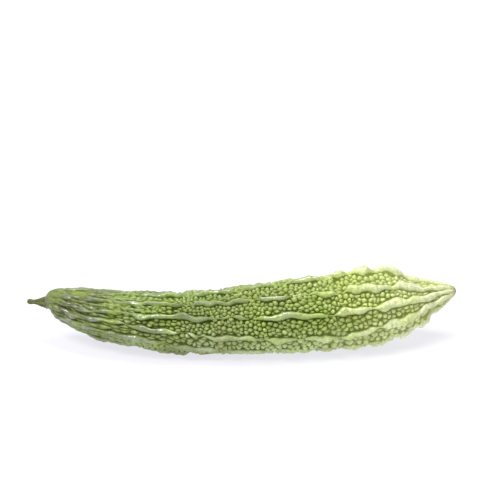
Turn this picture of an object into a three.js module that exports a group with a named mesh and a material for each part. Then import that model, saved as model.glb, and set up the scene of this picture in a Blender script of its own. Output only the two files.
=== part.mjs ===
// Bitter gourd lying on its side: a warty, ridged fruit with the stub of its stalk.
// Millimetres, +Z up, +X from the stalk to the blossom end. The origin is on the surface that it lies on,
// under the middle of the gourd.
import * as THREE from "three";

// Middle line of the fruit and its outline radius over the ridges, from the stalk seat to the nose.
const STATIONS = [
  { x: -116.3, y: 9.7, z: 22.8, radius: 3.6 },
  { x: -111.4, y: 9.1, z: 23.5, radius: 7.6 },
  { x: -104.9, y: 7.3, z: 22.4, radius: 10.3 },
  { x: -96.8, y: 4.5, z: 21.4, radius: 12.4 },
  { x: -78.8, y: -2.1, z: 19.8, radius: 15.4 },
  { x: -51.2, y: -7.5, z: 18.4, radius: 17.8 },
  { x: -24.8, y: -8.3, z: 17.7, radius: 19.4 },
  { x: 5.2, y: -7.7, z: 19.4, radius: 21.2 },
  { x: 29.2, y: -5.5, z: 20.7, radius: 22.4 },
  { x: 53.2, y: -0.9, z: 20.4, radius: 22.1 },
  { x: 71.2, y: 3.3, z: 21.5, radius: 22.6 },
  { x: 93.4, y: 8.5, z: 22.6, radius: 19.4 },
  { x: 103.1, y: 10.4, z: 23.9, radius: 15.4 },
  { x: 113.2, y: 12.3, z: 25.4, radius: 10.8 },
  { x: 121.1, y: 14.3, z: 26.8, radius: 6.8 },
  { x: 126.1, y: 15.5, z: 27.6, radius: 3.6 },
  { x: 127.9, y: 15.9, z: 27.9, radius: 1.7 },
];
const RINGS = 80; // steps along the fruit
const END_CROWDING = 0.25; // how much closer together the rings lie at both ends

// The ridges: how far each bulges out between its breaks towards the blossom end, where it runs, in degrees up
// from the level front at even steps along X from the seat to the nose, and where along X it is broken.
const RIDGES = [
  { lobe: 1.6, angles: [-32, -16, -29, -45, -51, -42, -32], breaks: [-79, -43, -12, 17, 41, 53, 68, 85, 97] },
  { lobe: 1.4, angles: [0, 12, 3, -11, -18, -7, 1], breaks: [-63, -33, -22, 11, 31, 52, 76] },
  { lobe: 1.4, angles: [28, 33, 35, 27, 23, 26, 29], breaks: [-83, -64, -13, -6, 5, 48, 73] },
  { lobe: 1.8, angles: [56, 60, 62, 59, 58, 56, 57], breaks: [-76, -68, -31, 8, 29, 36, 56, 87] },
  { lobe: 4.4, angles: [90, 89, 89, 90, 94, 91, 90], breaks: [-61, -31, 0, 25, 49, 65, 79, 100] },
  { lobe: 1.8, angles: [130, 128, 126, 127, 132, 130, 128], breaks: [-70, -38, -12, 18, 44, 70, 92] },
  { lobe: 1.4, angles: [172, 168, 164, 164, 170, 170, 167], breaks: [-84, -52, -20, 6, 33, 60, 84] },
  { lobe: 1.4, angles: [214, 208, 202, 201, 206, 208, 206], breaks: [-66, -36, -4, 22, 50, 73, 97] },
  { lobe: 1.4, angles: [254, 250, 243, 238, 240, 244, 246], breaks: [-78, -44, -16, 12, 38, 66, 88] },
  { lobe: 1.4, angles: [292, 300, 290, 276, 273, 280, 288], breaks: [-58, -28, 2, 27, 55, 80] },
];
const BREAK_REACH = 5.5; // from the middle of a break to the ridge's full height
const BREAK_SHARE = 0.55; // share of its height that a ridge loses in a break
const RIDGE_HALF_WIDTH = 1.7;
const RIDGE_WIDTH_SHARE = 0.2; // widest half ridge, as a share of the turn from one ridge to the next
const RIDGE_DEPTH = 3.0; // from the outline down to the creases between the warts
const LOBE_BASE = 0.75; // share of a bulge that is left in a break
const LOBES_GROW = [20, 75]; // along X
const LOBES_SHRINK = [88, 110];
const WART_HEIGHT = 2.1; // from the creases
const FADE_LENGTH = 17; // over which the relief dies out towards each end
const END_RELIEF = 0.12; // share of the relief that is left at the very ends

// Stalk: a ribbed cone that narrows to a neck and ends in a slightly wider cut face.
const STALK_GAP = 0.3;
const STALK = [
  { x: -116.3, y: 9.7, z: 22.8, radius: 3.3, rib: 0.45 },
  { x: -118.7, y: 10.0, z: 22.7, radius: 2.5, rib: 0.45 },
  { x: -122.2, y: 10.7, z: 22.5, radius: 1.45, rib: 0.25 },
  { x: -124.5, y: 11.2, z: 22.3, radius: 1.25, rib: 0.12 },
  { x: -126.1, y: 11.6, z: 22.3, radius: 1.65, rib: 0.06 },
  { x: -127.6, y: 12.0, z: 22.4, radius: 1.3, rib: 0.0 },
];
const STALK_RINGS = 14;
const STALK_RIBS = 6;
const STALK_SIDES = 30;

const UP = new THREE.Vector3(0, 0, 1);
const TURN = 2 * Math.PI;

// A smooth run through stations, read at a share of its length.
function makePath(stations) {
  const centres = stations.map((s) => new THREE.Vector3(s.x, s.y, s.z));
  const radii = stations.map((s) => new THREE.Vector3(s.radius, s.rib ?? 0, 0));
  const line = new THREE.CatmullRomCurve3(centres, false, "catmullrom");
  const sizes = new THREE.CatmullRomCurve3(radii, false, "catmullrom");
  line.arcLengthDivisions = 400;
  return (share) => {
    const t = line.getUtoTmapping(share);
    const size = sizes.getPoint(t);
    const along = line.getTangent(t);
    const front = new THREE.Vector3().crossVectors(along, UP).normalize();
    const upward = new THREE.Vector3().crossVectors(front, along).normalize();
    return { centre: line.getPoint(t), along, front, upward, radius: size.x, rib: size.y };
  };
}

// The point of a cross-section at an angle, measured upwards from its front.
function sectionPoint(section, angle, radius) {
  return section.centre
    .clone()
    .addScaledVector(section.front, Math.cos(angle) * radius)
    .addScaledVector(section.upward, Math.sin(angle) * radius);
}

// Joins rings of equal length into one closed surface, with a flat fan over each end.
// leansForward says which way the diagonal of a cell runs.
function loft(rings, leansForward) {
  const sides = rings[0].length;
  const middle = (ring) => ring.reduce((sum, p) => sum.add(p), new THREE.Vector3()).divideScalar(sides);
  const points = [...rings.flat(), middle(rings[0]), middle(rings.at(-1))];
  const firstMiddle = points.length - 2;
  const lastMiddle = points.length - 1;
  const lastRing = (rings.length - 1) * sides;
  const faces = [];
  for (let side = 0; side < sides; side++) {
    const next = (side + 1) % sides;
    for (let ring = 0; ring < rings.length - 1; ring++) {
      const a = ring * sides + side;
      const b = a + sides;
      const c = (ring + 1) * sides + next;
      const d = ring * sides + next;
      if (leansForward(ring, side)) {
        faces.push(a, b, c, a, c, d);
      } else {
        faces.push(a, b, d, b, c, d);
      }
    }
    faces.push(firstMiddle, side, next);
    faces.push(lastMiddle, lastRing + next, lastRing + side);
  }
  const geometry = new THREE.BufferGeometry();
  geometry.setFromPoints(points);
  geometry.setIndex(faces);
  geometry.computeVertexNormals();
  return geometry;
}

// Relief of the fruit. Each sector holds these columns, from one ridge to the next.
const COLUMNS = ["ridge", "ridge", "crease", "evenWart", "crease", "oddWart", "crease"];

// Share of the full relief at a distance from the nearer end.
function relief(toEnd) {
  return THREE.MathUtils.lerp(END_RELIEF, 1, THREE.MathUtils.smoothstep(toEnd, 0, FADE_LENGTH));
}

const SEAT_X = STATIONS[0].x;
const FRUIT_LENGTH = STATIONS.at(-1).x - SEAT_X;
const ridgeLines = RIDGES.map((ridge) => {
  const points = ridge.angles.map((degrees) => new THREE.Vector3(THREE.MathUtils.degToRad(degrees), 0, 0));
  return new THREE.CatmullRomCurve3(points, false, "catmullrom");
});

function ridgeAngle(ridge, x) {
  return ridgeLines[ridge].getPoint(THREE.MathUtils.clamp((x - SEAT_X) / FRUIT_LENGTH, 0, 1)).x;
}

// 0 in the middle of a break and 1 where the ridge is whole.
function wholeness(ridge, x) {
  const nearest = Math.min(...RIDGES[ridge].breaks.map((place) => Math.abs(x - place)));
  return THREE.MathUtils.smoothstep(nearest, 0, BREAK_REACH);
}

// Radius of a ridge's crown, less where it is broken and more in the bulges towards the blossom end.
function ridgeCrown(section, ridge, fade) {
  const x = section.centre.x;
  const whole = wholeness(ridge, x);
  const sunk = RIDGE_DEPTH * BREAK_SHARE * (1 - whole);
  const grown = THREE.MathUtils.smoothstep(x, ...LOBES_GROW);
  const shrunk = THREE.MathUtils.smoothstep(x, ...LOBES_SHRINK);
  const bulge = RIDGES[ridge].lobe * THREE.MathUtils.lerp(LOBE_BASE, 1, whole) * (grown - shrunk);
  return section.radius + (bulge - sunk) * fade;
}

function fruitRing(section, ring, toEnd) {
  const x = section.centre.x;
  const fade = relief(toEnd);
  const crease = section.radius - RIDGE_DEPTH * fade;
  const points = [];
  for (let ridge = 0; ridge < RIDGES.length; ridge++) {
    const here = ridgeAngle(ridge, x);
    const following = ridge + 1 < RIDGES.length ? ridgeAngle(ridge + 1, x) : ridgeAngle(0, x) + TURN;
    const half = Math.min(RIDGE_HALF_WIDTH / section.radius, RIDGE_WIDTH_SHARE * (following - here));
    const crown = ridgeCrown(section, ridge, fade);
    points.push(sectionPoint(section, here - half, crown));
    points.push(sectionPoint(section, here + half, crown));
    for (let column = 2; column < COLUMNS.length; column++) {
      const share = (column - 1) / (COLUMNS.length - 1);
      const angle = THREE.MathUtils.lerp(here + half, following - half, share);
      const raised = COLUMNS[column] === (ring % 2 === 0 ? "evenWart" : "oddWart");
      points.push(sectionPoint(section, angle, crease + (raised ? WART_HEIGHT * fade : 0)));
    }
  }
  return points;
}

// The diagonals of the four cells round a wart all meet at its top.
function fruitDiagonal(ring, side) {
  const column = side % COLUMNS.length;
  const raisedHere = ring % 2 === 0 ? "evenWart" : "oddWart";
  const raisedNext = ring % 2 === 0 ? "oddWart" : "evenWart";
  return COLUMNS[column] === raisedHere || COLUMNS[(column + 1) % COLUMNS.length] === raisedNext;
}

function makeFruit() {
  const path = makePath(STATIONS);
  const rings = [];
  for (let ring = 0; ring <= RINGS; ring++) {
    const even = ring / RINGS;
    const share = even - (END_CROWDING * Math.sin(TURN * even)) / TURN;
    rings.push(fruitRing(path(share), ring, Math.min(share, 1 - share) * FRUIT_LENGTH));
  }
  for (const point of rings.flat()) {
    point.z = Math.max(point.z, 0); // the underside is flattened where it lies
  }
  return loft(rings, fruitDiagonal);
}

function makeStalk() {
  const path = makePath(STALK);
  const start = path(0);
  const rings = [];
  for (let ring = 0; ring <= STALK_RINGS; ring++) {
    const section = path(ring / STALK_RINGS);
    const points = [];
    for (let side = 0; side < STALK_SIDES; side++) {
      const angle = (TURN * side) / STALK_SIDES;
      const radius = section.radius + section.rib * Math.cos(STALK_RIBS * angle);
      points.push(sectionPoint(section, angle, radius).addScaledVector(start.along, STALK_GAP));
    }
    rings.push(points);
  }
  return loft(rings, () => true);
}

function named(name, geometry, color, roughness) {
  const mesh = new THREE.Mesh(geometry, new THREE.MeshStandardMaterial({ color, roughness, metalness: 0 }));
  mesh.name = name;
  return mesh;
}

const gourd = new THREE.Group();
gourd.add(named("fruit", makeFruit(), 0x8a9c5a, 0.4));
gourd.add(named("stalk", makeStalk(), 0x7e855f, 0.6));

export default gourd;
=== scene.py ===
"""Bitter gourd lying on its side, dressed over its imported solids: warty ridged fruit and cut stalk."""

import math

import bpy
import numpy as np
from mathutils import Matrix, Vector, noise
from mathutils.kdtree import KDTree


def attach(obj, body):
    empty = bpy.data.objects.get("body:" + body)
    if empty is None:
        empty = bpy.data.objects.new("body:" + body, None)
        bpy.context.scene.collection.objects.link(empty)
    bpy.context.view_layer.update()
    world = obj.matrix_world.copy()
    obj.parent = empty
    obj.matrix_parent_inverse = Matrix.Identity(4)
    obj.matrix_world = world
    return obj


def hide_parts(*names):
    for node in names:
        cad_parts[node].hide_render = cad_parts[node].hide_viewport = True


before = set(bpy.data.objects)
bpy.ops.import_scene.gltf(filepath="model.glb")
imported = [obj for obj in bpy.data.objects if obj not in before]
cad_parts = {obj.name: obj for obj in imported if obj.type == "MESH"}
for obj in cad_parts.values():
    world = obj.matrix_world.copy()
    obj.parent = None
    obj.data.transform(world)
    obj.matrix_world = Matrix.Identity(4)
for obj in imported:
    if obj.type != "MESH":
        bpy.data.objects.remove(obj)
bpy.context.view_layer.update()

MM = 0.001
TURN = 2 * math.pi

# Middle line of the fruit and its outline radius over the ridges, from the stalk seat to the nose:
# x, y, z and radius in millimetres, as in the solid.
FRUIT_STATIONS = (
    (-116.3, 9.7, 22.8, 3.6),
    (-111.4, 9.1, 23.5, 7.6),
    (-104.9, 7.3, 22.4, 10.3),
    (-96.8, 4.5, 21.4, 12.4),
    (-78.8, -2.1, 19.8, 15.4),
    (-51.2, -7.5, 18.4, 17.8),
    (-24.8, -8.3, 17.7, 19.4),
    (5.2, -7.7, 19.4, 21.2),
    (29.2, -5.5, 20.7, 22.4),
    (53.2, -0.9, 20.4, 22.1),
    (71.2, 3.3, 21.5, 22.6),
    (93.4, 8.5, 22.6, 19.4),
    (103.1, 10.4, 23.9, 15.4),
    (113.2, 12.3, 25.4, 10.8),
    (121.1, 14.3, 26.8, 6.8),
    (126.1, 15.5, 27.6, 3.6),
    (127.9, 15.9, 27.9, 1.7),
)
# x, y, z, radius and rib height of the stalk.
STALK_STATIONS = (
    (-115.6, 9.6, 22.8, 3.7, 0.5),
    (-116.3, 9.7, 22.8, 3.3, 0.45),
    (-118.7, 10.0, 22.7, 2.5, 0.45),
    (-122.2, 10.7, 22.5, 1.45, 0.25),
    (-124.5, 11.2, 22.3, 1.25, 0.12),
    (-126.1, 11.6, 22.3, 1.65, 0.06),
    (-127.6, 12.0, 22.4, 1.3, 0.0),
)

# The ridges, as in the solid: how far each bulges out between its breaks towards the blossom end, where it
# runs, in degrees up from the level front at even steps along X, and where along X it is broken.
RIDGES = (
    (1.6, (-32, -16, -29, -45, -51, -42, -32), (-79, -43, -12, 17, 41, 53, 68, 85, 97)),
    (1.4, (0, 12, 3, -11, -18, -7, 1), (-63, -33, -22, 11, 31, 52, 76)),
    (1.4, (28, 33, 35, 27, 23, 26, 29), (-83, -64, -13, -6, 5, 48, 73)),
    (1.8, (56, 60, 62, 59, 58, 56, 57), (-76, -68, -31, 8, 29, 36, 56, 87)),
    (4.4, (90, 89, 89, 90, 94, 91, 90), (-61, -31, 0, 25, 49, 65, 79, 100)),
    (1.8, (130, 128, 126, 127, 132, 130, 128), (-70, -38, -12, 18, 44, 70, 92)),
    (1.4, (172, 168, 164, 164, 170, 170, 167), (-84, -52, -20, 6, 33, 60, 84)),
    (1.4, (214, 208, 202, 201, 206, 208, 206), (-66, -36, -4, 22, 50, 73, 97)),
    (1.4, (254, 250, 243, 238, 240, 244, 246), (-78, -44, -16, 12, 38, 66, 88)),
    (1.4, (292, 300, 290, 276, 273, 280, 288), (-58, -28, 2, 27, 55, 80)),
)
RIDGE_COUNT = len(RIDGES)
# Half widths at places along X. In every table of pairs the places along X come first.
RIDGE_HALF_WIDTH = ((-116, 2.2), (-90, 1.9), (-50, 2.0), (40, 2.2), (75, 2.6), (100, 2.6), (128, 1.5))
RIDGE_WIDTH_SHARE = 0.34  # the most that a half width may be of the room for one ridge
RIDGE_ROUNDNESS = 0.55  # 0.5 is a half ellipse
RIDGE_DEPTH = 3.0  # from the crests to the grooves
BREAK_REACH = 5.5  # along X, how far a break lowers its ridge
BREAK_SHARE = 0.6  # of the depth, how much a break lowers its ridge
NARROW_REACH = 8.5  # along X, how far a break narrows its ridge
# Share of its width that a ridge keeps in a break.
BREAK_WIDTH = ((-116, 0.7), (-80, 0.4), (-40, 0.12), (60, 0.12), (85, 0.55), (128, 0.8))
LOBES_GROW = (20.0, 75.0)  # along X, where the bulges begin and where they are full
LOBES_SHRINK = (88.0, 110.0)
LOBE_BASE = 0.75  # share of a bulge that is left in a break
LOBE_SPREAD = 0.1  # how much wider a ridge is for each millimetre that it bulges
SWELL_SHARE = 0.6  # share of a bulge that swells the skin round the ridge too
SWELL_WIDTH = 6.5
# Share of the depth that the grooves are filled, and what the upper side adds to it.
GROOVE_FILL = ((-116, 0.45), (-85, 0.35), (-45, 0.0), (128, 0.0))
TOP_FILL = ((-116, 0.35), (-70, 0.45), (-25, 0.0), (128, 0.0))
TOP_SIDE = (0.35, 0.95)  # sine of the angle up from the front, where the upper side begins and is full
FADE_LENGTH = 17.0  # over which the relief fades towards each end
END_RELIEF = 0.12  # share of the relief that is left at an end

# Random waves along each ridge: their lengths and shares, and how far they move its middle, its width, its
# crown and the place of its crest.
LONG_WAVES = ((31.0, 0.6), (12.5, 0.4))
SHORT_WAVES = ((12.0, 0.65), (4.8, 0.35))
WAVE_STRETCH = (0.8, 1.25)  # of its length, drawn for each ridge
SIDE_WAVE = 1.1
WIDTH_WAVE = 0.35  # share of the width
CROWN_WAVE = 0.55
LEAN_WAVE = 0.5  # share of the half width
WAVE_SEED = 5
# The thin crinkled frill that the lowest front ridge ends in.
FRILL_RIDGE = 0
FRILL_REACH = (72.0, 84.0, 107.0, 111.0)  # along X: begins, full, full, ends
FRILL_HALF_WIDTH = 1.3
FRILL_HEIGHT = ((72, 0.7), (96, 0.9), (107, 2.6), (128, 2.6))
FRILL_SWING = 0.4  # share of its height that its crinkles add or take
FRILL_CRINKLE = 1.1
FRILL_LENGTHS = (7.3, 4.1)
# Fine unevenness of the skin: scale along, scale across, and height.
WRINKLES = ((7.0, 1.6, 0.35), (2.4, 2.0, 0.3))
FOLDS = (1.5, 7.0, 0.9)  # across the bulges
STREAKS = (15.0, 1.3, 1.0)  # fine lines that leave the stalk
STREAKS_FADE = ((-116, 1.0), (-75, 0.9), (-30, 0.0), (128, 0.0))

# The fine meshes of the skin and the stalk.
FRUIT_SIDES = 236
FRUIT_RINGS = 420
CAP_RINGS = 5  # rings of the flat seat and of the nose
NOSE_HEIGHT = 0.5
HOLLOW_CELLS = 2.2  # how far round a point its hollows and crowns are judged
STALK_SIDES = 96
STALK_RINGS = 90
STALK_CAP_RINGS = 6
STALK_CAP_CURVE = 0.8  # 0.5 is a half ellipse, 1 a cone
STALK_RIBS = 6
PATH_STEPS = 1200

# Warts between the ridges: their pitch, and their height and length as shares of the full ones.
WART_HEIGHT = 2.1
WART_PITCH = (
    (-116, 2.0), (-60, 2.35), (-30, 2.8), (10, 3.1), (45, 3.4),
    (70, 3.6), (90, 3.1), (112, 2.4), (128, 2.0),
)
WART_SIZE = (
    (-116, 0.3), (-90, 0.4), (-62, 0.75), (-30, 0.95),
    (10, 1.05), (75, 1.1), (100, 0.8), (128, 0.5),
)
WART_LENGTH = (
    (-116, 4.5), (-90, 3.4), (-60, 1.7), (-35, 1.15), (-15, 1.0),
    (70, 1.0), (90, 1.2), (105, 2.0), (128, 3.5),
)
WART_SCALES = (1.15, 0.9, 0.85, 0.9, 1.0, 1.0, 1.0, 1.0, 1.0, 0.9)  # of the pitch, above each ridge
WART_SPREAD = (0.65, 1.2)  # of its height, drawn for each wart
WART_JITTER = 0.44  # of the pitch
WART_SLOPE = 0.46  # of the pitch, from a wart's foot to its top
WART_ROUNDNESS = 0.6  # 0.5 is a half ellipse
WART_REACH = 0.68  # of the pitch, the furthest that a wart spreads
WART_SEED = 11
ROW_START = 3.0  # the most that a first row is drawn away from the seat
ROW_END = 0.5  # how near the nose the last row may be
ROW_STEP = 0.9  # of the pitch
ROW_LEAN = 0.22  # of the room for one wart, by which rows lean to and fro
# How finely the fruit is measured in wart lengths, and how far past its ends.
DRAWN_STEPS = 1500
DRAWN_MARGIN = 5.0


def smoothstep(value, low, high):
    """0 below low, 1 above high and a soft step between them."""
    t = np.clip((value - low) / (high - low), 0.0, 1.0)
    return t * t * (3 - 2 * t)


def spline(points, t):
    """The uniform Catmull-Rom curve through points, at t from 0 to 1."""
    p = np.asarray(points, float)
    p = np.vstack([2 * p[0] - p[1], p, 2 * p[-1] - p[-2]])
    spans = len(p) - 3
    at = np.clip(np.asarray(t, float) * spans, 0, spans - 1e-9)
    i = at.astype(int)
    w = (at - i)[:, None]
    a, b, c, d = p[i], p[i + 1], p[i + 2], p[i + 3]
    return 0.5 * (2 * b + (c - a) * w + (2 * a - 5 * b + 4 * c - d) * w**2 + (3 * b - a - 3 * c + d) * w**3)


class Path:
    """A smooth run through stations, read at a share of its length."""

    def __init__(self, stations):
        self.stations = np.asarray(stations, float)
        self.t = np.linspace(0, 1, PATH_STEPS + 1)
        line = spline(self.stations[:, :3], self.t)
        length = np.concatenate([[0], np.cumsum(np.linalg.norm(np.diff(line, axis=0), axis=1))])
        self.share = length / length[-1]
        self.slopes = np.gradient(line, axis=0)

    def sections(self, share):
        """Centres, front, upward and onward directions, and the sizes after x, y, z, at each share."""
        t = np.interp(share, self.share, self.t)
        values = spline(self.stations, t)
        along = np.stack([np.interp(t, self.t, self.slopes[:, k]) for k in range(3)], axis=1)
        along /= np.linalg.norm(along, axis=1)[:, None]
        front = np.cross(along, (0, 0, 1))
        front /= np.linalg.norm(front, axis=1)[:, None]
        upward = np.cross(front, along)
        return values[:, :3], front, upward, along, values[:, 3:]


def around(centre, front, upward, angle, radius):
    """Points of cross-sections at angles measured upwards from the front."""
    c = np.cos(angle)[:, None] * front + np.sin(angle)[:, None] * upward
    return centre + c * np.asarray(radius)[:, None]


def capped(even, rings, cap_rings):
    """Shares along the path with a cap at each end, and the caps' own: 0 at a pole, 1 from the rim on."""
    cap = cap_rings / rings
    share = np.clip((even - cap) / (1 - 2 * cap), 0, 1)
    filled = np.clip(np.minimum(even, 1 - even) / cap, 0, 1)
    return share, filled


def deselect():
    bpy.ops.object.select_all(action="DESELECT")


def sphere_start(name, sides, rings):
    """A round primitive to be drawn out, with each vertex's share from end to end and angle round it."""
    deselect()
    bpy.ops.mesh.primitive_uv_sphere_add(segments=sides, ring_count=rings, radius=1.0)
    piece = bpy.context.object
    piece.name = name
    piece.data.name = name
    co = np.zeros(len(piece.data.vertices) * 3)
    piece.data.vertices.foreach_get("co", co)
    co = co.reshape(-1, 3)
    even = 1 - np.arccos(np.clip(co[:, 2], -1, 1)) / math.pi
    angle = np.arctan2(co[:, 1], co[:, 0])
    return piece, even, angle


def set_points(piece, points):
    """Gives a piece its vertices, in millimetres, and turns its faces outwards."""
    piece.data.vertices.foreach_set("co", (points * MM).ravel())
    piece.data.update()
    bpy.ops.object.mode_set(mode="EDIT")
    bpy.ops.mesh.select_all(action="SELECT")
    bpy.ops.mesh.normals_make_consistent(inside=False)
    bpy.ops.object.mode_set(mode="OBJECT")
    bpy.ops.object.shade_smooth()


def add_mask(piece, name, values):
    """Gives a piece a value at each vertex, for its material."""
    mask = piece.data.attributes.new(name, "FLOAT", "POINT")
    mask.data.foreach_set("value", np.asarray(values, np.float32))


# Relief of the fruit

SEAT_X = FRUIT_STATIONS[0][0]
FRUIT_LENGTH = FRUIT_STATIONS[-1][0] - SEAT_X


def at_places(table, x):
    """Reads a table of places and values at x."""
    places, values = zip(*table)
    return np.interp(x, places, values)


def waves(rng, x, lengths):
    """A smooth random line along x for each ridge, from about -1 to 1."""
    lines = np.zeros((len(x), RIDGE_COUNT))
    for length, share in lengths:
        stretched = length * rng.uniform(*WAVE_STRETCH, RIDGE_COUNT)
        lines += share * np.sin(TURN * (x[:, None] / stretched + rng.uniform(0, 1, RIDGE_COUNT)))
    return lines


class Ridges:
    """The ridges at each x, in columns: how whole they are, their angle, half width, height and lean."""

    def __init__(self, x, radius, fade):
        rng = np.random.default_rng(WAVE_SEED)
        share = np.clip((x - SEAT_X) / FRUIT_LENGTH, 0, 1)
        self.angle = spline(np.radians([angles for _, angles, _ in RIDGES]).T, share)
        nearest = [np.abs(x[:, None] - np.asarray(breaks, float)).min(axis=1) for _, _, breaks in RIDGES]
        nearest = np.stack(nearest, axis=1)
        self.whole = smoothstep(nearest, 0, BREAK_REACH)
        self.angle += waves(rng, x, LONG_WAVES) * SIDE_WAVE * (fade / radius)[:, None]
        self.bulge = smoothstep(x, *LOBES_GROW) - smoothstep(x, *LOBES_SHRINK)
        lobes = self.bulge[:, None] * np.array([lobe for lobe, _, _ in RIDGES])
        self.swell = SWELL_SHARE * lobes * (LOBE_BASE + (1 - LOBE_BASE) * self.whole)
        widest = np.minimum(at_places(RIDGE_HALF_WIDTH, x), RIDGE_WIDTH_SHARE * TURN / RIDGE_COUNT * radius)
        kept = at_places(BREAK_WIDTH, x)[:, None]
        wide = kept + (1 - kept) * smoothstep(nearest, 0, NARROW_REACH)
        self.half = widest[:, None] * wide * (1 + LOBE_SPREAD * lobes)
        self.half *= 1 + WIDTH_WAVE * waves(rng, x, LONG_WAVES)
        self.height = RIDGE_DEPTH + self.swell * (1 / SWELL_SHARE - 1)
        self.height -= RIDGE_DEPTH * BREAK_SHARE * (1 - self.whole)
        self.height += CROWN_WAVE * waves(rng, x, SHORT_WAVES) * self.whole
        self.lean = LEAN_WAVE * waves(rng, x, LONG_WAVES)  # the crest's place, from -1 to 1 across the ridge
        self.frill(x, radius)

    def frill(self, x, radius):
        """Thins one ridge into a crinkled frill."""
        begins, full, still_full, ends = FRILL_REACH
        share = smoothstep(x, begins, full) - smoothstep(x, still_full, ends)
        crinkle = sum(np.sin(TURN * x / length) for length in FRILL_LENGTHS) / len(FRILL_LENGTHS)
        self.half[:, FRILL_RIDGE] += share * (FRILL_HALF_WIDTH - self.half[:, FRILL_RIDGE])
        self.height[:, FRILL_RIDGE] += share * at_places(FRILL_HEIGHT, x) * (1 + FRILL_SWING * crinkle)
        self.angle[:, FRILL_RIDGE] += share * FRILL_CRINKLE * crinkle / radius


def drawn_in(x):
    """Places along the fruit, measured in wart lengths."""
    marks = np.linspace(SEAT_X - DRAWN_MARGIN, SEAT_X + FRUIT_LENGTH + DRAWN_MARGIN, DRAWN_STEPS)
    total = np.concatenate([[0], np.cumsum(np.diff(marks) / at_places(WART_LENGTH, marks[1:]))])
    return np.interp(x, marks, total)


def unrolled(x, angle, radius):
    """Where a point of the skin is on a straightened fruit."""
    return np.stack([drawn_in(x), radius * np.cos(angle), radius * np.sin(angle)], axis=-1)


def wart_seeds(x, radius, ridges):
    """Place, angle, radius and size of each wart, row by row between each two ridges."""
    rng = np.random.default_rng(WART_SEED)
    seeds = []
    for ridge in range(RIDGE_COUNT):
        following = (ridge + 1) % RIDGE_COUNT
        place = x[0] + rng.uniform(0, ROW_START)
        row = 0
        while place < x[-1] - ROW_END:
            ring = np.searchsorted(x, place)
            pitch = at_places(WART_PITCH, place) * WART_SCALES[ridge]
            low = ridges.angle[ring, ridge] + ridges.half[ring, ridge] / radius[ring]
            high = ridges.angle[ring, following] - ridges.half[ring, following] / radius[ring]
            if following == 0:
                high += TURN
            count = max(1, round((high - low) * radius[ring] / pitch))
            lean = ROW_LEAN if row % 2 else -ROW_LEAN
            for k in range(count):
                share = (k + 0.5 + (lean if count > 1 else 0)) / count
                step = rng.uniform(-WART_JITTER, WART_JITTER, 2) * pitch
                angle = low + share * (high - low) + step[0] / radius[ring]
                seeds.append((place + step[1], angle, radius[ring], rng.uniform(*WART_SPREAD)))
            place += ROW_STEP * pitch * at_places(WART_LENGTH, place)
            row += 1
    return np.array(seeds)


def wart_cells(seeds, x, angle, radius):
    """At each point of the skin, the distances to its wart's wall and middle, and the wart's size."""
    tree = KDTree(len(seeds))
    for k, point in enumerate(unrolled(seeds[:, 0], seeds[:, 1], seeds[:, 2])):
        tree.insert(point, k)
    tree.balance()
    points = unrolled(x, angle, radius).reshape(-1, 3)
    wall = np.zeros(len(points))
    middle = np.zeros(len(points))
    size = np.zeros(len(points))
    for k, point in enumerate(points):
        (_, seed, near), (_, _, next_near) = tree.find_n(point, 2)
        wall[k] = (next_near - near) / 2
        middle[k] = near
        size[k] = seeds[seed, 3]
    return wall.reshape(x.shape), middle.reshape(x.shape), size.reshape(x.shape)


def wrinkled(x, angle, radius, wrinkle):
    """Fine unevenness of the skin at each point."""
    along_scale, across_scale, height = wrinkle
    scale = np.array([along_scale, across_scale, across_scale])
    points = np.stack([x, radius * np.cos(angle), radius * np.sin(angle)], axis=-1).reshape(-1, 3) / scale
    return height * np.array([noise.noise(point) for point in points]).reshape(x.shape)


def softened(sheet, cells):
    """A sheet of values, blurred over so many cells and closed round the fruit."""
    reach = math.ceil(3 * cells)
    weights = np.exp(-0.5 * (np.arange(-reach, reach + 1) / cells) ** 2)
    weights /= weights.sum()
    rows, columns = sheet.shape
    padded = np.pad(sheet, ((reach, reach), (0, 0)), "edge")
    sheet = sum(weight * padded[k : k + rows] for k, weight in enumerate(weights))
    padded = np.pad(sheet, ((0, 0), (reach, reach)), "wrap")
    return sum(weight * padded[:, k : k + columns] for k, weight in enumerate(weights))


def rope_relief(ridges, radius, turns):
    """Over the sheet: the ridges' height, how far each point is on one, its way to one, and the swell."""
    away = (turns[None, :, None] - ridges.angle[:, None, :] + math.pi) % TURN - math.pi
    away = away * radius[:, None, None]
    off = away / ridges.half[:, None, :]
    from_crest = off - ridges.lean[:, None, :]
    from_crest /= 1 - np.sign(from_crest) * ridges.lean[:, None, :]
    rope = np.clip(1 - from_crest**2, 0, 1) ** RIDGE_ROUNDNESS
    height = (rope * ridges.height[:, None, :]).max(axis=2)
    mask = (rope * ridges.whole[:, None, :]).max(axis=2)
    gap = ((np.abs(off) - 1) * ridges.half[:, None, :]).min(axis=2)
    swell = ridges.swell[:, None, :] * np.exp(-((away / SWELL_WIDTH) ** 2))
    return height, mask, gap, swell.max(axis=2)


def wart_relief(seeds, sheet, gap):
    """Over the sheet: the warts' height, and the size of the wart that each point is on."""
    wall, middle, size = wart_cells(seeds, *sheet)
    pitch = at_places(WART_PITCH, sheet[0])
    rise = np.clip(np.minimum(wall, gap) / (WART_SLOPE * pitch), 0, 1)
    dome = (1 - (1 - rise) ** 2) ** WART_ROUNDNESS
    dome *= np.sqrt(np.clip(1 - (middle / (WART_REACH * pitch)) ** 2, 0, 1))
    return WART_HEIGHT * size * at_places(WART_SIZE, sheet[0]) * dome, size


def unevenness(sheet, bulge):
    """Fine wrinkles all over, folds across the bulges and lines that leave the stalk."""
    uneven = sum(wrinkled(*sheet, wrinkle) for wrinkle in WRINKLES) + bulge * wrinkled(*sheet, FOLDS)
    return uneven + at_places(STREAKS_FADE, sheet[0]) * wrinkled(*sheet, STREAKS)


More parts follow.
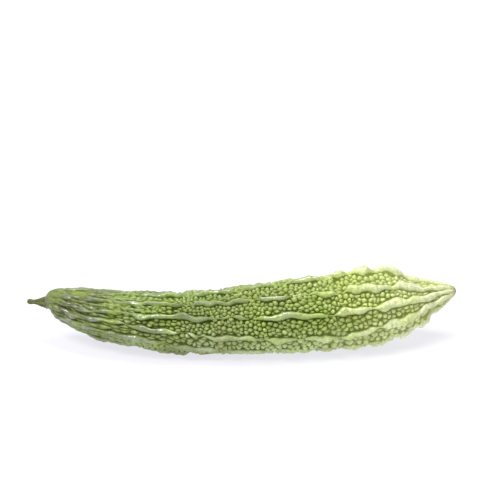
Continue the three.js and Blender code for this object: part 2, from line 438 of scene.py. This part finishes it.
def fruit_relief(x, radius, fade):
    """The skin as a sheet, a row for each ring and a column for each side: height, ridge mask and tone."""
    turns = np.arange(FRUIT_SIDES) * TURN / FRUIT_SIDES
    sheet = [np.broadcast_to(part, (len(x), FRUIT_SIDES)) for part in (x[:, None], turns, radius[:, None])]
    ridges = Ridges(x, radius, fade)
    rope_height, rope_mask, gap, swell = rope_relief(ridges, radius, turns)
    wart_height, size = wart_relief(wart_seeds(x, radius, ridges), sheet, gap)
    height = np.maximum(rope_height, wart_height)
    fill = at_places(GROOVE_FILL, x)[:, None]
    fill = fill + at_places(TOP_FILL, x)[:, None] * smoothstep(np.sin(turns), *TOP_SIDE)
    height = height + fill * (RIDGE_DEPTH - height)
    height = height + swell
    uneven = unevenness(sheet, (rope_mask * ridges.bulge[:, None]) ** 2)
    height = (height + uneven * np.clip(height, 0, 1)) * fade[:, None]
    return height, rope_mask, size * (1 - rope_mask) + rope_mask


def make_fruit(path):
    """The fruit's fine skin, which takes the place of its solid."""
    piece, even, angle = sphere_start("fruit_skin", FRUIT_SIDES, FRUIT_RINGS)
    share, filled = capped(np.arange(FRUIT_RINGS + 1) / FRUIT_RINGS, FRUIT_RINGS, CAP_RINGS)
    centre, front, upward, along, sizes = path.sections(share)
    radius = sizes[:, 0]
    to_end = np.minimum(share, 1 - share) * FRUIT_LENGTH
    fade = END_RELIEF + (1 - END_RELIEF) * smoothstep(to_end, 0, FADE_LENGTH)
    height, rope_mask, tone = fruit_relief(centre[:, 0], radius, fade)
    hollow = softened(height, HOLLOW_CELLS) - height

    ring = np.rint(even * FRUIT_RINGS).astype(int)
    side = np.rint(angle / TURN * FRUIT_SIDES).astype(int) % FRUIT_SIDES
    reach = radius[ring] - RIDGE_DEPTH * fade[ring] + height[ring, side]
    points = around(centre[ring], front[ring], upward[ring], angle, reach * filled[ring])
    nose = NOSE_HEIGHT * (1 - filled[ring] ** 2) * (ring > FRUIT_RINGS / 2)
    points += along[ring] * nose[:, None]
    points[:, 2] = np.maximum(points[:, 2], 0.0)  # flattened where it lies
    set_points(piece, points)

    add_mask(piece, "hollow", hollow[ring, side])
    add_mask(piece, "rope", rope_mask[ring, side])
    add_mask(piece, "along", share[ring])
    add_mask(piece, "tone", tone[ring, side])
    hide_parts("fruit")
    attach(piece, "root")
    return piece


# Stalk


def make_stalk(path):
    """The ribbed stalk with its cut end, which takes the place of its solid."""
    piece, even, angle = sphere_start("stalk_skin", STALK_SIDES, STALK_RINGS)
    share, filled = capped(even, STALK_RINGS, STALK_CAP_RINGS)
    centre, front, upward, _, sizes = path.sections(share)
    radius = sizes[:, 0] + sizes[:, 1] * np.cos(STALK_RIBS * angle)
    points = around(centre, front, upward, angle, radius * filled**STALK_CAP_CURVE)
    set_points(piece, points)
    add_mask(piece, "cut", (even > 0.5) * (1 - filled))
    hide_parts("stalk")
    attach(piece, "root")
    return piece


# Materials

# Greens along the fruit, from its stalk at 0 to its nose at 1.
BODY_GREENS = (
    (0.0, (0.145, 0.165, 0.055, 1)),
    (0.30, (0.21, 0.265, 0.048, 1)),
    (0.6, (0.31, 0.385, 0.085, 1)),
    (0.72, (0.38, 0.455, 0.12, 1)),
    (0.82, (0.56, 0.62, 0.25, 1)),
    (1.0, (0.71, 0.74, 0.40, 1)),
)
RIDGE_GREENS = (
    (0.0, (0.105, 0.120, 0.058, 1)),
    (0.30, (0.132, 0.168, 0.054, 1)),
    (0.55, (0.245, 0.305, 0.095, 1)),
    (0.72, (0.43, 0.50, 0.19, 1)),
    (0.82, (0.62, 0.66, 0.39, 1)),
    (1.0, (0.68, 0.70, 0.42, 1)),
)
# Painted shade in the hollows between ridges and warts: the darker greens they are drawn towards, along the
# fruit.
GROOVE_PAINTED_SHADE_GREENS = (
    (0.0, (0.060, 0.078, 0.020, 1)),
    (0.25, (0.035, 0.055, 0.008, 1)),
    (0.6, (0.045, 0.075, 0.008, 1)),
    (0.82, (0.17, 0.22, 0.035, 1)),
    (1.0, (0.40, 0.43, 0.17, 1)),
)
LIME = (0.29, 0.41, 0.045, 1)
YELLOW = (0.54, 0.64, 0.14, 1)
GREY_BLOOM = (0.185, 0.22, 0.155, 1)
# Painted light added on the low side, standing in for light thrown up from the floor.
LOW_SIDE_PAINTED_LIGHT = (0.22, 0.22, 0.19, 1)
SCAR_OLIVE = (0.27, 0.25, 0.11, 1)
STALK_STREAKS = ((0.3, (0.055, 0.068, 0.018, 1)), (0.7, (0.155, 0.170, 0.060, 1)))
STALK_CUT = (0.50, 0.50, 0.30, 1)
# How fine the patterns are, for each metre.
PATCHES_SCALE = 38.0
BLOOM_SCALE = 70.0
GLAZE_SCALE = 150.0
STREAKS_SCALE = 1500.0
# How far patterns are drawn out along the fruit and along the stalk.
GLAZE_STRETCH = (0.3, 1.0, 1.0)
STREAKS_STRETCH = (0.15, 1.0, 1.0)
# Grain of the skin and of the stalk: scale, contrast and depth.
SKIN_GRAIN = (750.0, 0.20, 0.3)
STALK_GRAIN = (1200.0, 0.25, 0.4)
GRAIN_HEIGHT = 0.0003  # in metres


class Nodes:
    """Short calls for building a node tree."""

    def __init__(self, tree):
        self.tree = tree

    def feed(self, socket, value):
        """Links a socket to another one, or gives it a plain value."""
        if isinstance(value, bpy.types.NodeSocket):
            self.tree.links.new(value, socket)
        else:
            socket.default_value = value

    def feed_all(self, node, inputs):
        for name, value in inputs.items():
            self.feed(node.inputs[name], value)

    def add(self, kind, inputs=None, **settings):
        node = self.tree.nodes.new(kind)
        for name, value in settings.items():
            setattr(node, name, value)
        self.feed_all(node, inputs or {})
        return node

    def place(self):
        return self.add("ShaderNodeTexCoord").outputs["Object"]

    def stretched(self, place, scale):
        return self.add("ShaderNodeMapping", {"Vector": place, "Scale": scale}).outputs["Vector"]

    def mask(self, name):
        return self.add("ShaderNodeAttribute", attribute_name=name).outputs["Fac"]

    def cloud(self, place, scale, detail):
        """A cloudy pattern from 0 to 1."""
        inputs = {"Vector": place, "Scale": scale, "Detail": detail}
        return self.add("ShaderNodeTexNoise", inputs).outputs["Fac"]

    def mix(self, factor, a, b, blend="MIX"):
        node = self.add("ShaderNodeMix", data_type="RGBA", blend_type=blend)
        for index, value in ((0, factor), (6, a), (7, b)):
            self.feed(node.inputs[index], value)
        return node.outputs[2]

    def ramp(self, value, stops):
        node = self.add("ShaderNodeValToRGB", {"Fac": value})
        ramp = node.color_ramp
        while len(ramp.elements) < len(stops):
            ramp.elements.new(0.5)
        for element, (place, color) in zip(ramp.elements, stops):
            element.position = place
            element.color = color
        return node.outputs["Color"]

    def span(self, value, low, high, to_low=0.0, to_high=1.0):
        inputs = {"Value": value, "From Min": low, "From Max": high, "To Min": to_low, "To Max": to_high}
        return self.add("ShaderNodeMapRange", inputs).outputs["Result"]

    def maths(self, operation, a, b):
        node = self.add("ShaderNodeMath", operation=operation)
        self.feed(node.inputs[0], a)
        self.feed(node.inputs[1], b)
        return node.outputs[0]

    def times(self, a, b):
        return self.maths("MULTIPLY", a, b)


def grain_group():
    """Fine grain of a skin: a shade to multiply its colour by, and a normal with the same grain."""
    tree = bpy.data.node_groups.new("skin_grain", "ShaderNodeTree")
    for name, kind in (("Vector", "Vector"), ("Scale", "Float"), ("Contrast", "Float"), ("Depth", "Float")):
        tree.interface.new_socket(name=name, in_out="INPUT", socket_type="NodeSocket" + kind)
    for name, kind in (("Shade", "Float"), ("Normal", "Vector")):
        tree.interface.new_socket(name=name, in_out="OUTPUT", socket_type="NodeSocket" + kind)
    nodes = Nodes(tree)
    given = nodes.add("NodeGroupInput").outputs
    grain = nodes.cloud(given["Vector"], given["Scale"], 3.0)
    swing = nodes.times(nodes.span(grain, 0.3, 0.7, -1.0, 1.0), given["Contrast"])
    inputs = {"Height": grain, "Strength": given["Depth"], "Distance": GRAIN_HEIGHT}
    bump = nodes.add("ShaderNodeBump", inputs)
    shade = nodes.maths("ADD", swing, 1.0)
    nodes.add("NodeGroupOutput", {"Shade": shade, "Normal": bump.outputs["Normal"]})
    return tree


def add_grain(nodes, group, place, grain):
    """Places the grain group in a material, and gives its shade and normal."""
    scale, contrast, depth = grain
    inputs = {"Vector": place, "Scale": scale, "Contrast": contrast, "Depth": depth}
    node = nodes.add("ShaderNodeGroup", inputs, node_tree=group)
    return node.outputs["Shade"], node.outputs["Normal"]


def new_material(name):
    """A new material, with its short calls and its shader."""
    material = bpy.data.materials.new(name)
    material.use_nodes = True
    nodes = Nodes(material.node_tree)
    shader = material.node_tree.nodes["Principled BSDF"]
    return material, nodes, shader


def fruit_color(nodes, place, hollow, ridge):
    """Greens along the fruit, with patches, grey bloom, painted light on the low side, painted shade in the
    grooves and the scar.
    """
    along = nodes.mask("along")
    patches = nodes.cloud(place, PATCHES_SCALE, 3.0)
    bloom = nodes.cloud(place, BLOOM_SCALE, 4.0)
    height = nodes.add("ShaderNodeSeparateXYZ", {"Vector": place}).outputs["Z"]
    color = nodes.mix(ridge, nodes.ramp(along, BODY_GREENS), nodes.ramp(along, RIDGE_GREENS))

    lime = nodes.times(nodes.span(patches, 0.42, 0.62), nodes.span(along, 0.65, 0.85, 0.6, 0.1))
    color = nodes.mix(lime, color, LIME)
    yellow = nodes.times(nodes.span(patches, 0.52, 0.38), nodes.span(along, 0.66, 0.82, 0.0, 0.5))
    color = nodes.mix(yellow, color, YELLOW)
    tone = nodes.span(nodes.mask("tone"), *WART_SPREAD, 0.82, 1.08)
    color = nodes.mix(1.0, color, tone, "MULTIPLY")

    grey = nodes.times(nodes.span(bloom, 0.42, 0.58), nodes.span(along, 0.1, 0.7, 0.75, 0.0))
    crowns = nodes.span(hollow, 0.1, -0.4)
    color = nodes.mix(nodes.times(grey, crowns), color, GREY_BLOOM)
    # Painted light: the skin up to 24 mm above the floor is made paler in cloudy patches, more towards the
    # nose, in place of light from the floor below.
    painted_low_light = nodes.times(nodes.span(height, 0.024, 0.009), nodes.span(bloom, 0.35, 0.6, 0.4, 1.0))
    painted_low_light = nodes.times(painted_low_light, nodes.span(along, 0.15, 0.6, 0.2, 1.0))
    color = nodes.mix(painted_low_light, color, LOW_SIDE_PAINTED_LIGHT, "ADD")

    # Painted shade: hollows are darkened towards the groove greens, a little less on the low side and near
    # the nose.
    painted_groove_shade = nodes.maths("POWER", nodes.span(hollow, -0.25, 0.45), 1.5)
    painted_groove_shade = nodes.times(painted_groove_shade, nodes.span(along, 0.6, 0.85, 0.97, 0.85))
    painted_groove_shade = nodes.times(painted_groove_shade, nodes.span(height, 0.024, 0.012, 1.0, 0.8))
    color = nodes.mix(painted_groove_shade, color, nodes.ramp(along, GROOVE_PAINTED_SHADE_GREENS))
    scar = nodes.times(nodes.span(along, 0.985, 0.998), nodes.span(bloom, 0.3, 0.6, 0.5, 1.0))
    return nodes.mix(scar, color, SCAR_OLIVE)


def fruit_glaze(nodes, place, hollow, ridge):
    """Wet gloss in short streaks on the crowns of the ridges, and less on the warts."""
    streaks = nodes.cloud(nodes.stretched(place, GLAZE_STRETCH), GLAZE_SCALE, 1.0)
    crowns = nodes.span(hollow, 0.0, -0.4)
    glaze = nodes.times(nodes.span(streaks, 0.48, 0.56), crowns)
    return nodes.times(glaze, nodes.span(ridge, 0.3, 0.8, 0.4, 1.0))


def fruit_material(group):
    """Green waxy skin that lets a little light in, with its grain and glaze."""
    material, nodes, shader = new_material("fruit_skin")
    place = nodes.place()
    hollow = nodes.mask("hollow")
    ridge = nodes.mask("rope")
    shade, normal = add_grain(nodes, group, place, SKIN_GRAIN)
    finish = {
        "Base Color": nodes.mix(1.0, fruit_color(nodes, place, hollow, ridge), shade, "MULTIPLY"),
        "Specular IOR Level": nodes.span(hollow, -0.2, 0.3, 0.5, 0.05),
        "Roughness": 0.36,
        "Coat Weight": fruit_glaze(nodes, place, hollow, ridge),
        "Coat Roughness": 0.13,
        "Coat IOR": 1.7,
        "Normal": normal,
        "Subsurface Weight": 0.12,
        "Subsurface Radius": (0.6, 1.0, 0.25),
        "Subsurface Scale": 0.002,
    }
    nodes.feed_all(shader, finish)
    return material


def stalk_material(group):
    """Olive streaks along the stalk, and its pale cut end."""
    material, nodes, shader = new_material("stalk_skin")
    drawn = nodes.stretched(nodes.place(), STREAKS_STRETCH)
    color = nodes.ramp(nodes.cloud(drawn, STREAKS_SCALE, 3.0), STALK_STREAKS)
    color = nodes.mix(nodes.span(nodes.mask("cut"), 0.1, 0.4), color, STALK_CUT)
    shade, normal = add_grain(nodes, group, drawn, STALK_GRAIN)
    finish = {
        "Base Color": nodes.mix(1.0, color, shade, "MULTIPLY"),
        "Specular IOR Level": 0.2,
        "Roughness": 0.6,
        "Normal": normal,
    }
    nodes.feed_all(shader, finish)
    return material


# Stage, lights and camera

FLOOR_SIZE = 60.0
FLOOR_DROP = 0.00005  # below the fruit
FLOOR_GLOW_REACH = (0.25, 0.9)  # from the middle, where the glow starts to rise and where it is full
FLOOR_GLOW = (0.74, 1.0)
WORLD_COLOR = (0.97, 0.98, 1.0, 1)
WORLD_STRENGTH = 0.62
# Name, place, aim, width and height in metres, and power in watts.
SOFTBOXES = (
    ("key", (-0.55, -0.35, 0.95), (0, 0, 0.02), 0.4, 0.4, 8.2),
    ("top", (0.1, 0.15, 1.0), (0, 0, 0.02), 0.8, 0.3, 7.4),
    ("front", (0.1, -0.9, 0.1), (0, 0, 0.01), 1.2, 0.3, 1.7),
)
CAMERA_AIM = Vector((0.0051, 0.0, 0.0602))
CAMERA_DISTANCE = 0.805
CAMERA_ELEVATION = math.radians(22)
CAMERA_LENS = 100.0


def make_stage():
    """A wide grey floor that glows more away from the fruit."""
    deselect()
    bpy.ops.mesh.primitive_plane_add(size=FLOOR_SIZE, location=(0, 0, -FLOOR_DROP))
    floor = bpy.context.object
    floor.name = "floor"
    material, nodes, shader = new_material("studio_floor")
    length = nodes.add("ShaderNodeVectorMath", {"Vector": nodes.place()}, operation="LENGTH")
    distance = length.outputs["Value"]
    finish = {
        "Base Color": (0.24, 0.24, 0.24, 1),
        "Roughness": 0.9,
        "Emission Color": (0.93, 0.92, 1.0, 1),
        "Emission Strength": nodes.span(distance, *FLOOR_GLOW_REACH, *FLOOR_GLOW),
    }
    nodes.feed_all(shader, finish)
    floor.data.materials.append(material)


def softbox(name, place, aim, width, height, power):
    """A flat lamp that faces its aim."""
    light = bpy.data.lights.new(name, "AREA")
    light.shape = "RECTANGLE"
    light.size = width
    light.size_y = height
    light.energy = power
    lamp = bpy.data.objects.new(name, light)
    bpy.context.scene.collection.objects.link(lamp)
    lamp.location = place
    lamp.rotation_euler = (Vector(aim) - Vector(place)).to_track_quat("-Z", "Y").to_euler()


def make_lights():
    """A pale surround and the softboxes."""
    world = bpy.data.worlds.new("studio")
    world.use_nodes = True
    background = world.node_tree.nodes["Background"]
    Nodes(world.node_tree).feed_all(background, {"Color": WORLD_COLOR, "Strength": WORLD_STRENGTH})
    for box in SOFTBOXES:
        softbox(*box)
    bpy.context.scene.world = world
    bpy.context.scene.view_settings.view_transform = "Standard"


def make_camera():
    """A long lens, level with the fruit's length and a little above it."""
    data = bpy.data.cameras.new("camera")
    data.lens = CAMERA_LENS
    camera = bpy.data.objects.new("camera", data)
    bpy.context.scene.collection.objects.link(camera)
    back = Vector((0, -math.cos(CAMERA_ELEVATION), math.sin(CAMERA_ELEVATION)))
    camera.location = CAMERA_AIM + back * CAMERA_DISTANCE
    camera.rotation_euler = (-back).to_track_quat("-Z", "Y").to_euler()
    bpy.context.scene.camera = camera


make_stage()
make_lights()
make_camera()
fruit = make_fruit(Path(FRUIT_STATIONS))
grain = grain_group()
fruit.data.materials.append(fruit_material(grain))
stalk = make_stalk(Path(STALK_STATIONS))
stalk.data.materials.append(stalk_material(grain))
